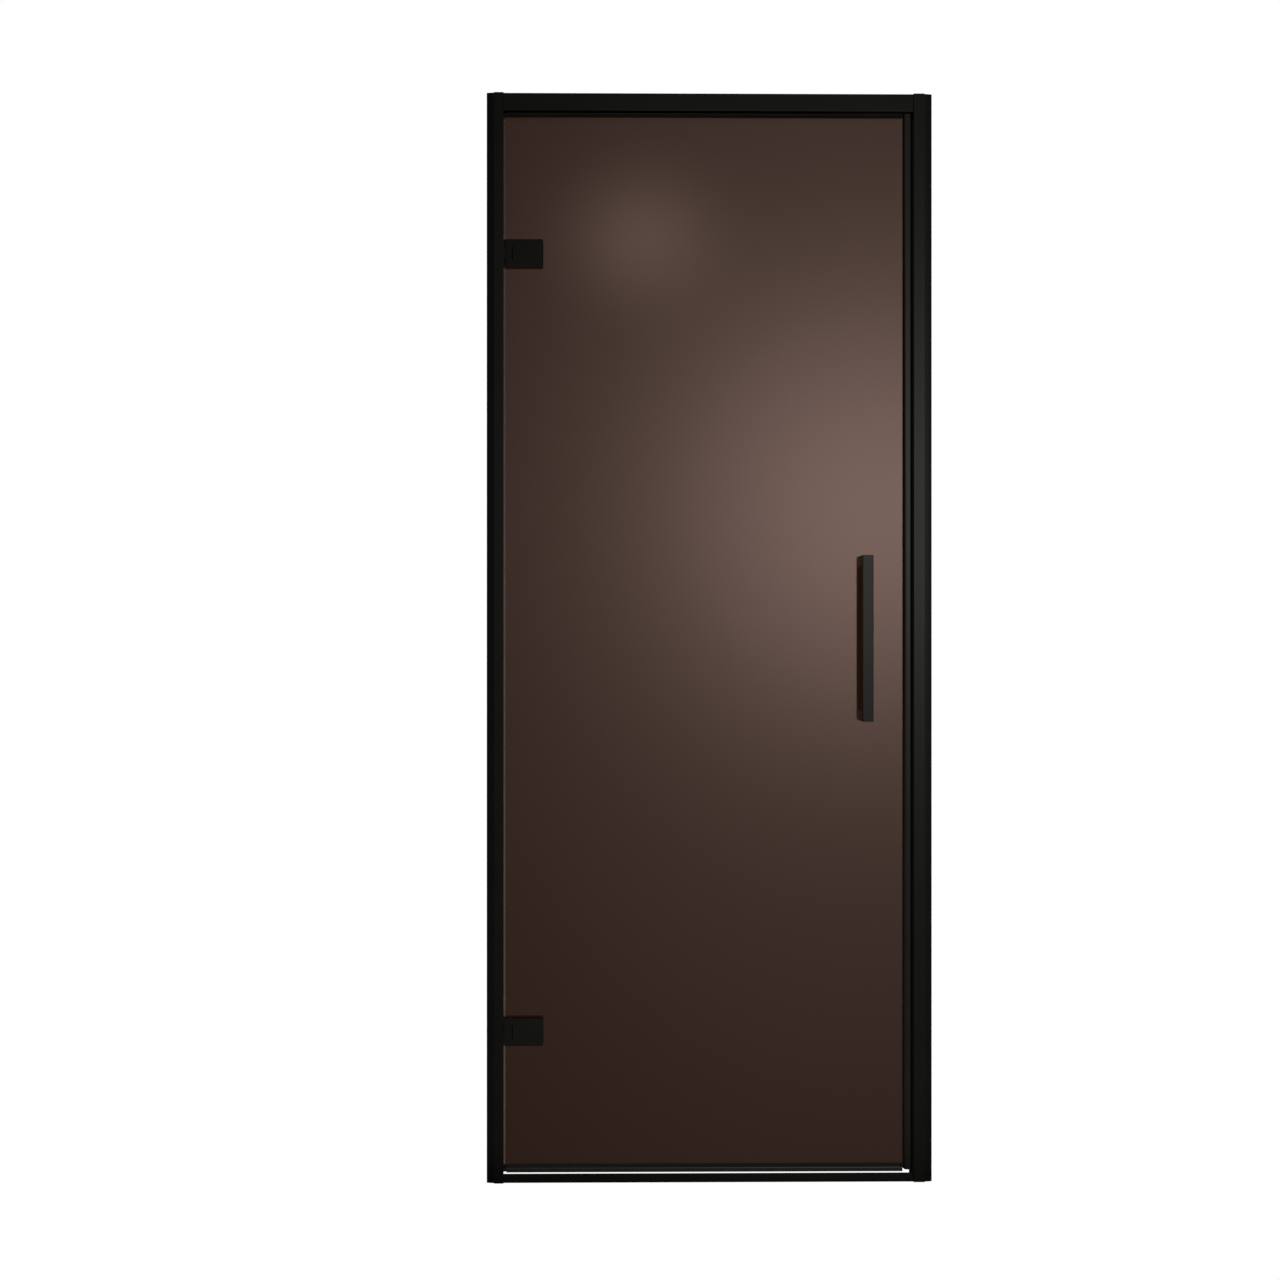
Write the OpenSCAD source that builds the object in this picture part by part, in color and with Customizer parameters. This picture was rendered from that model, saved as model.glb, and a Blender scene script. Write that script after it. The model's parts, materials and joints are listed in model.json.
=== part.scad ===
// Framed hinged shower door for an alcove: one leaf of tinted glass in a slim black frame.
// X runs from the hinge-side wall to the strike-side wall, +Y goes inside, +Z goes up.
// The outside face, which carries the flat bar handle, looks towards -Y.
// The origin is the middle of the flat wall face on the hinge side. All sizes are in mm.

/* [Overall] */
// Width from wall face to wall face
frame_w = 818; // [700:1:1000]
// Height from the sill's underside to the tops of the jambs
frame_h = 2000; // [1800:1:2200]
// Depth of the jambs from front to back
frame_d = 40; // [36:1:50]
// How far header, sill and leaf sit behind the jambs' fronts
face_step = 2.7; // [1:0.1:5]
// Gap between the moving leaf and the frame around it
leaf_gap = 5.2; // [5:0.1:8]
// Gap around pieces that are pushed into a groove
fit_gap = 0.1; // [0.05:0.05:0.3]

/* [Wall channels] */
// Thickness of the web that is screwed to the wall
channel_web = 2; // [1.5:0.1:3]
// Thickness of the two side walls
channel_wall = 1.6; // [1.2:0.1:2.5]
// Width of channel left in sight beside each jamb
channel_show = 14; // [8:1:20]
// Radius of the gently rounded faces that stay in sight
channel_crown_r = 140; // [100:5:300]
// Slope of those faces where the jamb covers them
channel_crown_a = 5.5; // [2:0.5:8]
// Play between channel and jamb
slide_gap = 0.2; // [0.1:0.05:0.4]
// Diameter of the wall screw holes
wall_hole_d = 5.5; // [4:0.5:8]
// Number of wall screws in each channel
wall_hole_count = 4; // [2:2:8]
// Distance from the channel's ends to the first wall screw
wall_hole_end = 130; // [60:10:250]

/* [Jambs] */
// Wall thickness of the jamb profiles
jamb_wall = 1.8; // [1.4:0.1:2.5]
// Width of the hinge jamb's front
hinge_face = 17; // [14:1:24]
// How far that front reaches past the jamb's web, over the leaf's edge
flange_reach = 9; // [6:0.5:12]
// Width of the strike jamb's front
strike_face = 20; // [16:1:30]
// Thickness of the plugs that close the jambs' tops
cap_t = 3; // [2:0.5:5]

/* [Header and sill] */
// Height of the header
header_h = 32; // [26:1:50]
// Wall thickness of the header profile
header_wall = 1.8; // [1.4:0.1:2.5]
// Width of the slot in the header's underside
header_slot_w = 8; // [5:0.5:12]
// Depth of that slot
header_slot_d = 7; // [4:0.5:12]
// Height of the sill's raised front
sill_h = 15; // [12:0.5:20]
// How far the raised front leans back
sill_lean = 0.5; // [0.2:0.1:6]
// Height at which the lean begins
sill_lip = 5; // [3:0.5:8]
// Thickness of the raised front
sill_front_t = 2.6; // [2:0.1:4]
// Thickness of the sill's floor next to its front
sill_floor_t = 3.4; // [2.5:0.1:5]
// Thickness of the sill's floor at its inner edge
sill_edge_t = 2; // [1.5:0.1:3]

/* [Leaf] */
// Thickness of the glass
glass_t = 6; // [5:1:8]
// Width of the strike stile
stile_w = 14.8; // [13:0.2:20]
// How deep the glass sits in the stile
glass_bite = 10; // [6:0.5:10.5]
// Radius of the stile's front corner on the glass side
stile_r = 2; // [1:0.5:3]
// Radius of the stile's gently rounded front
stile_crown_r = 45; // [40:5:200]
// Radius of its other corners
edge_r = 1; // [0.5:0.1:1.5]
// Wall thickness of the stile and rails
leaf_wall = 1.8; // [1.4:0.1:2]
// How far stile and rails reach behind the glass
leaf_back = 4.2; // [3:0.1:8]
// Height of the bottom rail
bottom_rail_h = 8.8; // [8:0.2:20]
// Thickness of the top rail's plate
top_rail_t = 2.3; // [2:0.1:4]
// Thickness of that plate at its front edge
top_lip_t = 1; // [0.8:0.1:2]
// How far the plate reaches down in front of the glass
top_bead_h = 1.7; // [1:0.1:3]
// Length of the top rail's leg behind the glass
top_leg_h = 6; // [5:0.5:16]
// Thickness of the drip sweep under the bottom rail
sweep_t = 2; // [1.5:0.1:4]
// Thickness of the clear seal on the hinge edge
edge_seal_t = 0.8; // [0.6:0.1:1.2]
// Width of that seal over the glass
edge_seal_w = 4.6; // [4:0.1:12]
// Width of the magnet strips in stile and strike jamb
magnet_w = 8; // [6:0.5:10]
// Depth of the magnet strips
magnet_d = 3; // [2:0.5:3]
// Thickness of the stile's end caps
stile_cap_t = 1.5; // [1:0.1:1.8]

/* [Hinges] */
// Distance from the leaf's top and bottom to the hinges' middles
hinge_inset = 256; // [150:1:400]
// Height of the hinge plates
plate_h = 51; // [44:1:70]
// Width of the hinge plates
plate_w = 71; // [50:1:90]
// Thickness of the front plate, which holds the pin
plate_t = 9; // [8:0.5:12]
// Thickness of the back plate
back_plate_t = 6; // [4:0.5:8]
// Corner radius of the plates
plate_r = 3; // [1:0.5:6]
// Gap between the jamb's flange and the front plate
plate_gap = 1; // [0.8:0.1:3]
// Thickness of the gaskets between plates and glass
gasket_t = 0.8; // [0.5:0.1:1.5]
// Distance from the front plate's edge to the pin
pin_inset = 11; // [9:0.5:14]
// Diameter of the pin
pin_d = 5; // [4:0.5:6]
// Play around the pin in the knuckle, on the radius
pin_play = 0.05; // [0.02:0.01:0.1]
// Height of the knuckle that turns in the plate's notch
knuckle_h = 24; // [18:1:30]
// Gap above and below the knuckle, and in front of its round end
knuckle_gap = 0.4; // [0.3:0.1:1.5]
// Height of the knuckle's foot on the jamb
foot_h = 38; // [28:1:46]
// Thickness of that foot
foot_t = 3; // [2:0.5:4]
// Diameter of the clamp screw holes in the glass
clamp_hole_d = 12; // [10:1:16]
// Diameter of the clamp screws
clamp_screw_d = 6; // [5:1:8]
// Head diameter of the clamp screws
clamp_head_d = 11; // [9:0.5:14]
// Distance between the two clamp screws of a hinge
clamp_pitch = 26; // [20:1:40]
// Distance from the plate's free edge to the clamp screws
clamp_inset = 20; // [14:1:30]

/* [Handle] */
// Length of each handle bar
bar_h = 304; // [200:1:600]
// Width of each bar
bar_w = 20; // [14:1:30]
// Thickness of each bar
bar_t = 8; // [6:0.5:12]
// Space between bar and glass
bar_stand = 24; // [18:1:50]
// Distance from the strike jamb to the middle of the bar
bar_inset = 87.4; // [60:0.1:150]
// Height of the bar's middle above the sill's underside
bar_z = 999; // [900:1:1100]
// Height of the posts, which are as wide as the bars
post_h = 20; // [16:1:30]
// Diameter of the spigot that goes through the glass
spigot_d = 8; // [6:0.5:10]
// Diameter of the spigot's hole in the glass
handle_hole_d = 12; // [10:0.5:16]
// Depth of the spigot's bore in the inner post
spigot_bite = 12; // [6:0.5:16]
// Thickness of the washers between posts and glass
washer_t = 0.8; // [0.5:0.1:2]

/* [Hidden] */
$fn = 64;
front_y = -frame_d / 2;
back_y = frame_d / 2;
base_z = -frame_h / 2;
top_z = frame_h / 2;
leaf_y = front_y + face_step;
rail_back_y = -leaf_y;

// Frame positions along X
web_x = channel_show + hinge_face - flange_reach;
flange_x = channel_show + hinge_face;
strike_x = frame_w - channel_show - strike_face;
channel_half = frame_d / 2 - jamb_wall - slide_gap;
channel_depth = web_x - jamb_wall - slide_gap;
wall_hole_pitch = (frame_h - 2 * wall_hole_end) / (wall_hole_count - 1);
header_z = top_z - header_h;
crown_x = channel_show + channel_crown_r * sin(channel_crown_a);
crown_y = channel_crown_r * cos(channel_crown_a) - channel_half;

// Leaf positions
leaf_x0 = web_x + leaf_gap;
leaf_x1 = strike_x - leaf_gap;
stile_crown_x = leaf_x1 - 3;
leaf_z0 = base_z + sill_h + leaf_gap;
leaf_z1 = header_z - leaf_gap;
leaf_y1 = leaf_y + plate_t + gasket_t + glass_t + leaf_back;
rail_z0 = leaf_z0 + sweep_t;
glass_x0 = leaf_x0 + edge_seal_t;
glass_y0 = leaf_y + plate_t + gasket_t;
glass_y1 = glass_y0 + glass_t;
glass_z0 = rail_z0 + leaf_wall;
glass_z1 = leaf_z1 - top_rail_t;
stile_x0 = leaf_x1 - stile_w;
glass_x1 = stile_x0 + glass_bite;
relief_x = flange_x + leaf_gap;
relief_y = front_y + jamb_wall + leaf_gap;
magnet_y = (glass_y0 + glass_y1) / 2 + 2;
sweep_neck_y = (leaf_y + glass_y0) / 2;

// Hinge positions
plate_x0 = flange_x + plate_gap;
plate_x1 = plate_x0 + plate_w;
pin_x = plate_x0 + pin_inset;
pin_y = leaf_y + plate_t / 2;
notch_x1 = pin_x + plate_t / 2 + knuckle_gap;
clamp_x = plate_x1 - clamp_inset;
low_hinge_z = leaf_z0 + hinge_inset;
high_hinge_z = leaf_z1 - hinge_inset;

// Handle positions
bar_x = strike_x - bar_inset;
bar_mid_z = base_z + bar_z;
post_z = bar_h / 2 - post_h / 2;
bar_y1 = glass_y0 - bar_stand;
inner_bar_y0 = glass_y1 + bar_stand;

black = [0.05, 0.05, 0.05];
rubber = [0.1, 0.1, 0.1];
clear = [0.45, 0.36, 0.3, 0.6];
tint = [0.25, 0.18, 0.14, 0.45];

// Rectangle given by two corners
module rect(x0, y0, x1, y1) {
    translate([x0, y0]) square([x1 - x0, y1 - y0]);
}

// Rectangle with one radius on all corners, or each corner its own: [low-low, high-low, high-high, low-high]
module round_rect(x0, y0, x1, y1, r) {
    difference() {
        rect(x0, y0, x1, y1);
        corner_cut(x0, y0, 1, 1, r[0]);
        corner_cut(x1, y0, -1, 1, r[1]);
        corner_cut(x1, y1, -1, -1, r[2]);
        corner_cut(x0, y1, 1, -1, r[3]);
    }
}

// What a rounded corner takes off a square one
module corner_cut(x, y, sx, sy, r) {
    if (r > 0)
        difference() {
            translate([x + (sx > 0 ? -1 : -r), y + (sy > 0 ? -1 : -r)]) square(r + 1);
            translate([x + sx * r, y + sy * r]) circle(r);
        }
}

// Raise a plan profile between two heights
module raise(z0, z1) {
    translate([0, 0, z0]) linear_extrude(z1 - z0) children();
}

// Run a profile drawn in Y and Z along X
module run_x(x0, x1) {
    translate([x0, 0, 0]) rotate([90, 0, 90]) linear_extrude(x1 - x0) children();
}

// Run a profile drawn in X and Z along Y
module run_y(y0, y1) {
    translate([0, y1, 0]) rotate([90, 0, 0]) linear_extrude(y1 - y0) children();
}

// Cylinder along Y between two depths
module rod_y(x, z, y0, y1, d) {
    translate([x, y1, z]) rotate([90, 0, 0]) cylinder(h = y1 - y0, d = d);
}

// What lies outside a big circle in a strip of a profile's edge
module crown_cut(x0, y0, x1, y1, cx, cy, r) {
    difference() {
        rect(x0, y0, x1, y1);
        translate([cx, cy]) circle(r);
    }
}

// Section of a wall channel's outside, or of what it holds: a rectangle with gently rounded long sides
module channel_section(x0, x1, inset) {
    half = channel_half - inset;
    difference() {
        rect(x0, -half, x1, half);
        crown_cut(x0 - 1, -half - 1, crown_x, 0, crown_x, crown_y, channel_crown_r - inset);
        crown_cut(x0 - 1, 0, crown_x, half + 1, crown_x, -crown_y, channel_crown_r - inset);
    }
}

// U-shaped wall channel, web on the wall, with its line of wall screw holes
module wall_channel() {
    difference() {
        raise(base_z, top_z)
            difference() {
                channel_section(0, channel_depth, 0);
                channel_section(channel_web, channel_depth + 1, channel_wall);
            }
        for (i = [0 : wall_hole_count - 1])
            translate([-1, 0, base_z + wall_hole_end + i * wall_hole_pitch])
                rotate([0, 90, 0]) cylinder(h = channel_web + 2, d = wall_hole_d);
    }
}

module wall_channel_hinge_side() {
    color(black) wall_channel();
}

module wall_channel_strike_side() {
    color(black) translate([frame_w, 0, 0]) rotate([0, 0, 180]) wall_channel();
}

// Hinge jamb: a web that slides on the channel, and a front flange over the leaf's edge
module hinge_jamb() {
    color(black)
        raise(base_z, top_z) {
            round_rect(channel_show, front_y, flange_x, front_y + jamb_wall, [0, edge_r, 0, 0]);
            rect(web_x - jamb_wall, front_y + jamb_wall / 2, web_x, back_y - jamb_wall / 2);
            round_rect(channel_show, back_y - jamb_wall, web_x, back_y, [0, 0, edge_r, 0]);
        }
}

// Strike jamb: flat front, full-depth side, and a groove that holds the magnet strip
module strike_jamb() {
    x1 = strike_x + strike_face;
    floor_x = strike_x + magnet_d;
    color(black)
        raise(base_z, top_z)
            difference() {
                union() {
                    round_rect(strike_x, front_y, x1, front_y + jamb_wall, [edge_r, 0, 0, 0]);
                    round_rect(strike_x, back_y - jamb_wall, x1, back_y, [0, 0, 0, edge_r]);
                    rect(strike_x, front_y + edge_r, strike_x + jamb_wall, back_y - edge_r);
                    rect(strike_x, magnet_y - magnet_w / 2 - jamb_wall,
                        floor_x + jamb_wall, magnet_y + magnet_w / 2 + jamb_wall);
                }
                rect(strike_x - 1, magnet_y - magnet_w / 2, floor_x, magnet_y + magnet_w / 2);
            }
}

// Header: a closed tube with a slot along its underside
module header_rail() {
    slot_y0 = magnet_y - header_slot_w / 2;
    slot_y1 = magnet_y + header_slot_w / 2;
    color(black)
        run_x(web_x, strike_x)
            difference() {
                round_rect(leaf_y, header_z, rail_back_y, top_z, [edge_r, edge_r, edge_r, edge_r]);
                difference() {
                    rect(leaf_y + header_wall, header_z + header_wall, rail_back_y - header_wall, top_z - header_wall);
                    rect(slot_y0 - header_wall, header_z, slot_y1 + header_wall,
                        header_z + header_slot_d + header_wall);
                }
                rect(slot_y0, header_z - 1, slot_y1, header_z + header_slot_d);
            }
}

// Sill: a low front that leans back over a floor which falls towards the inside
module sill_rail() {
    y1 = leaf_y + sill_lean;
    y2 = y1 + sill_front_t;
    color(black)
        run_x(web_x, strike_x)
            difference() {
                polygon([[leaf_y, base_z], [leaf_y, base_z + sill_lip], [y1, base_z + sill_h],
                    [y2, base_z + sill_h], [y2, base_z + sill_floor_t],
                    [rail_back_y, base_z + sill_edge_t], [rail_back_y, base_z]]);
                corner_cut(y1, base_z + sill_h, 1, -1, edge_r / 2);
                corner_cut(y2, base_z + sill_h, -1, -1, edge_r / 2);
            }
}

// Plug that closes the hollow between channel and jamb at the top
module hinge_side_top_plug() {
    color(rubber)
        raise(top_z - cap_t - 1, top_z - 1)
            channel_section(channel_web + slide_gap, channel_depth, channel_wall + slide_gap);
}

module strike_side_top_plug() {
    reach = frame_w - strike_x - magnet_d - jamb_wall - slide_gap;
    color(rubber)
        raise(top_z - cap_t - 1, top_z - 1)
            translate([frame_w, 0]) rotate(180)
                channel_section(channel_web + slide_gap, reach, channel_wall + slide_gap);
}

// Magnet strip in a groove: drawn with its back on x0 and its face towards +X or -X
module magnet_strip(x0, x1, z0, z1) {
    raise(z0, z1)
        rect(x0, magnet_y - magnet_w / 2 + fit_gap, x1, magnet_y + magnet_w / 2 - fit_gap);
}

module strike_magnet_seal() {
    color(rubber)
        magnet_strip(strike_x + fit_gap, strike_x + magnet_d, rail_z0, leaf_z1);
}

module leaf_magnet_seal() {
    color(rubber)
        magnet_strip(leaf_x1 - magnet_d, leaf_x1 - fit_gap, rail_z0 + stile_cap_t, leaf_z1 - stile_cap_t);
}

// Fixed half of a hinge: a foot on the jamb's web and a knuckle bored for the pin
module hinge_knuckle(z) {
    r = plate_t / 2;
    y0 = pin_y - r;
    y1 = pin_y + r;
    difference() {
        union() {
            raise(z - knuckle_h / 2, z + knuckle_h / 2) {
                rect(web_x, y0, pin_x, y1);
                translate([pin_x, pin_y]) circle(r);
            }
            raise(z - foot_h / 2, z + foot_h / 2)
                rect(web_x, front_y + jamb_wall, web_x + foot_t, y1);
        }
        translate([pin_x, pin_y, z - knuckle_h / 2 - 1]) cylinder(h = knuckle_h + 2, r = pin_d / 2 + pin_play);
    }
}

// Outline of a hinge plate in X and Z, with the notch for the knuckle where it has one
module plate_outline(z, inset, notched) {
    r = plate_r - inset;
    difference() {
        round_rect(plate_x0 + inset, z - plate_h / 2 + inset, plate_x1 - inset, z + plate_h / 2 - inset, [r, r, r, r]);
        if (notched)
            rect(plate_x0 - 1, z - knuckle_h / 2 - knuckle_gap, notch_x1, z + knuckle_h / 2 + knuckle_gap);
    }
}

// Front plate: notched for the knuckle, drilled for the pin, tapped from behind for the clamp screws
module hinge_front_plate(z) {
    difference() {
        run_y(leaf_y, leaf_y + plate_t) plate_outline(z, 0, true);
        translate([pin_x, pin_y, z - plate_h / 2 + 1]) cylinder(h = plate_h, d = pin_d);
        for (s = [-1, 1])
            rod_y(clamp_x, z + s * clamp_pitch / 2, leaf_y + 2.5, leaf_y + plate_t + 1, clamp_screw_d);
    }
}

// Back plate: plain clamp with countersunk screw holes
module hinge_back_plate(z) {
    y0 = glass_y1 + gasket_t;
    sink = (clamp_head_d - clamp_screw_d) / 2;
    difference() {
        run_y(y0, y0 + back_plate_t) plate_outline(z, 0, false);
        for (s = [-1, 1])
            translate([clamp_x, y0, z + s * clamp_pitch / 2]) rotate([-90, 0, 0]) {
                translate([0, 0, -1]) cylinder(h = back_plate_t + 2, d = clamp_screw_d + 2 * slide_gap);
                translate([0, 0, back_plate_t - sink])
                    cylinder(h = sink + 0.01, d1 = clamp_screw_d, d2 = clamp_head_d);
            }
    }
}

// Gaskets on both faces of the glass
module hinge_gaskets(z) {
    difference() {
        union() {
            run_y(glass_y0 - gasket_t, glass_y0) plate_outline(z, 1, true);
            run_y(glass_y1, glass_y1 + gasket_t) plate_outline(z, 1, false);
        }
        for (s = [-1, 1])
            rod_y(clamp_x, z + s * clamp_pitch / 2, glass_y0 - 5, glass_y1 + 5, clamp_hole_d);
    }
}

// Pin through plate and knuckle, held by the plate
module hinge_pin(z) {
    translate([pin_x, pin_y, z - plate_h / 2 + 1]) cylinder(h = plate_h - 1.5, d = pin_d);
}

module upper_hinge_knuckle() {
    color(black) hinge_knuckle(high_hinge_z);
}

module lower_hinge_knuckle() {
    color(black) hinge_knuckle(low_hinge_z);
}

module upper_hinge_front_plate() {
    color(black) hinge_front_plate(high_hinge_z);
}

module lower_hinge_front_plate() {
    color(black) hinge_front_plate(low_hinge_z);
}

module upper_hinge_back_plate() {
    color(black) hinge_back_plate(high_hinge_z);
}

module lower_hinge_back_plate() {
    color(black) hinge_back_plate(low_hinge_z);
}

module upper_hinge_gaskets() {
    color(rubber) hinge_gaskets(high_hinge_z);
}

module lower_hinge_gaskets() {
    color(rubber) hinge_gaskets(low_hinge_z);
}

module upper_hinge_pin() {
    color([0.6, 0.6, 0.6]) hinge_pin(high_hinge_z);
}

module lower_hinge_pin() {
    color([0.6, 0.6, 0.6]) hinge_pin(low_hinge_z);
}

// One sheet of glass, drilled for the hinges' clamp screws and the handle's spigots
module glass_pane() {
    color(tint)
        difference() {
            translate([glass_x0, glass_y0, glass_z0])
                cube([glass_x1 - glass_x0, glass_t, glass_z1 - glass_z0]);
            for (z = [low_hinge_z, high_hinge_z], s = [-1, 1])
                rod_y(clamp_x, z + s * clamp_pitch / 2, glass_y0 - 1, glass_y1 + 1, clamp_hole_d);
            for (s = [-1, 1])
                rod_y(bar_x, bar_mid_z + s * post_z, glass_y0 - 1, glass_y1 + 1, handle_hole_d);
        }
}

// Plan outline of the strike stile, its front gently rounded and falling away towards the glass
module stile_outline() {
    difference() {
        round_rect(stile_x0, leaf_y, leaf_x1, leaf_y1, [stile_r, edge_r, edge_r, edge_r]);
        crown_cut(stile_x0 - 1, leaf_y - 1, leaf_x1 + 1, leaf_y + 3,
            stile_crown_x, leaf_y + stile_crown_r, stile_crown_r);
    }
}

// Hollow front of the stile, kept inside its outline
module stile_chamber() {
    rect(stile_x0 + leaf_wall, leaf_y + leaf_wall + 1.2, leaf_x1 - leaf_wall, glass_y0 - fit_gap - leaf_wall);
}

module strike_stile() {
    color(black)
        raise(rail_z0 + stile_cap_t, leaf_z1 - stile_cap_t)
            difference() {
                stile_outline();
                stile_chamber();
                rect(stile_x0 - 1, glass_y0 - fit_gap, glass_x1 + fit_gap, glass_y1 + fit_gap);
                rect(leaf_x1 - magnet_d, magnet_y - magnet_w / 2, leaf_x1 + 1, magnet_y + magnet_w / 2);
            }
}

module stile_end_caps() {
    color(rubber) {
        raise(rail_z0, rail_z0 + stile_cap_t) stile_outline();
        raise(leaf_z1 - stile_cap_t, leaf_z1) stile_outline();
    }
}

// What is cut from a rail's front so that it clears the hinge jamb's flange
module flange_relief(z0, z1) {
    raise(z0, z1) rect(leaf_x0 - 1, leaf_y - 1, relief_x, relief_y);
}

// Bottom rail: a trough for the glass, its hollow front slotted below for the sweep
module bottom_rail() {
    leg_y = glass_y1 + fit_gap;
    top = rail_z0 + bottom_rail_h;
    color(black)
        difference() {
            run_x(leaf_x0, stile_x0)
                difference() {
                    union() {
                        round_rect(leaf_y, rail_z0, glass_y0 - fit_gap, top, [0, 0, 0, edge_r]);
                        rect(leaf_y + leaf_wall, rail_z0, leg_y + leaf_wall, glass_z0);
                        rect(leg_y, rail_z0, leg_y + leaf_wall, top);
                    }
                    rect(leaf_y + leaf_wall, glass_z0, glass_y0 - fit_gap - leaf_wall, top - leaf_wall);
                    rect(sweep_neck_y - 1, rail_z0 - 1, sweep_neck_y + 1, glass_z0 + 1);
                }
            flange_relief(rail_z0 - 1, top + 1);
        }
}

// Top rail: a plate over the glass, sloped underneath in front of it, with a leg behind it
module top_rail() {
    leg_y = glass_y1 + fit_gap;
    bead_y = glass_y0 - fit_gap;
    color(black)
        difference() {
            run_x(leaf_x0, stile_x0) {
                difference() {
                    polygon([[leaf_y, leaf_z1], [leaf_y, leaf_z1 - top_lip_t], [bead_y, glass_z1 - top_bead_h],
                        [bead_y, glass_z1], [leaf_y1, glass_z1], [leaf_y1, leaf_z1]]);
                    corner_cut(leaf_y1, leaf_z1, -1, -1, edge_r);
                }
                rect(leg_y, glass_z1 - top_leg_h, leg_y + leaf_wall, glass_z1 + top_rail_t / 2);
            }
            flange_relief(glass_z1 - top_bead_h - 1, leaf_z1 + 1);
        }
}

// Drip sweep: a soft strip with a barbed rib that is pushed up into the bottom rail
module drip_sweep() {
    y1 = glass_y1 + fit_gap + leaf_wall;
    rib = 1 - fit_gap;
    color(rubber)
        difference() {
            run_x(leaf_x0, stile_x0) {
                round_rect(leaf_y, leaf_z0, y1, rail_z0, [edge_r / 2, edge_r, 0, 0]);
                rect(sweep_neck_y - rib, rail_z0 - sweep_t / 2, sweep_neck_y + rib, glass_z0 + 1);
                rect(sweep_neck_y - 2, glass_z0 + fit_gap, sweep_neck_y + 2, glass_z0 + 2);
            }
            flange_relief(leaf_z0 - 1, glass_z0 + 3);
        }
}

// Clear U-shaped seal on the glass's hinge edge, in three lengths around the hinges
module hinge_edge_seals() {
    gap = plate_h / 2 + 1;
    color(clear)
        for (span = [[rail_z0 + bottom_rail_h, low_hinge_z - gap],
                [low_hinge_z + gap, high_hinge_z - gap],
                [high_hinge_z + gap, glass_z1 - top_leg_h]])
            raise(span[0], span[1])
                difference() {
                    rect(leaf_x0, glass_y0 - edge_seal_t, leaf_x0 + edge_seal_w, glass_y1 + edge_seal_t);
                    rect(glass_x0, glass_y0, leaf_x0 + edge_seal_w + 1, glass_y1);
                }
}

// Flat bar between two depths, its long edges rounded
module handle_bar(y0, y1) {
    raise(bar_mid_z - bar_h / 2, bar_mid_z + bar_h / 2)
        round_rect(bar_x - bar_w / 2, y0, bar_x + bar_w / 2, y1, [edge_r, edge_r, edge_r, edge_r]);
}

module outer_handle_bar() {
    color(black) handle_bar(bar_y1 - bar_t, bar_y1);
}

module inner_handle_bar() {
    color(black) handle_bar(inner_bar_y0, inner_bar_y0 + bar_t);
}

// Outline of a post in X and Z: as wide as the bar and flush with its end
module post_outline(s, inset) {
    z = bar_mid_z + s * post_z;
    half_w = bar_w / 2 - inset;
    half_h = post_h / 2 - inset;
    round_rect(bar_x - half_w, z - half_h, bar_x + half_w, z + half_h, [edge_r, edge_r, edge_r, edge_r]);
}

// Outer posts, each with a spigot that goes through the glass
module outer_handle_posts() {
    color(black)
        for (s = [-1, 1]) {
            run_y(bar_y1, glass_y0 - washer_t) post_outline(s, 0);
            rod_y(bar_x, bar_mid_z + s * post_z, bar_y1 + 1, glass_y1 + washer_t + spigot_bite - 1, spigot_d);
        }
}

// Inner posts, bored for the spigots
module inner_handle_posts() {
    y0 = glass_y1 + washer_t;
    color(black)
        for (s = [-1, 1])
            difference() {
                run_y(y0, inner_bar_y0) post_outline(s, 0);
                rod_y(bar_x, bar_mid_z + s * post_z, y0 - 1, y0 + spigot_bite, spigot_d + 2 * slide_gap);
            }
}

module handle_washers() {
    color(rubber)
        for (s = [-1, 1], y = [glass_y0 - washer_t, glass_y1])
            difference() {
                run_y(y, y + washer_t) post_outline(s, 0.5);
                rod_y(bar_x, bar_mid_z + s * post_z, y - 1, y + washer_t + 1, spigot_d + 2 * slide_gap);
            }
}

wall_channel_hinge_side();
wall_channel_strike_side();
hinge_jamb();
strike_jamb();
header_rail();
sill_rail();
hinge_side_top_plug();
strike_side_top_plug();
strike_magnet_seal();
upper_hinge_knuckle();
lower_hinge_knuckle();
glass_pane();
strike_stile();
stile_end_caps();
bottom_rail();
top_rail();
leaf_magnet_seal();
drip_sweep();
hinge_edge_seals();
upper_hinge_front_plate();
upper_hinge_back_plate();
upper_hinge_gaskets();
upper_hinge_pin();
lower_hinge_front_plate();
lower_hinge_back_plate();
lower_hinge_gaskets();
lower_hinge_pin();
outer_handle_bar();
outer_handle_posts();
inner_handle_bar();
inner_handle_posts();
handle_washers();
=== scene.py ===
# %% [markdown]
# A framed shower door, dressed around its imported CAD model. The door is one leaf of brown
# tinted glass in slim black powder-coated profiles, with plate hinges on the left and flat
# bar handles on the right. The CAD nodes keep their shapes: this file gives them their
# finishes, models the small pieces that the solids leave plain, and sets up a studio like
# the one in the photograph. Everything is in metres, in the CAD model's own frame.

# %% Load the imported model
import json
import math

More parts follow.
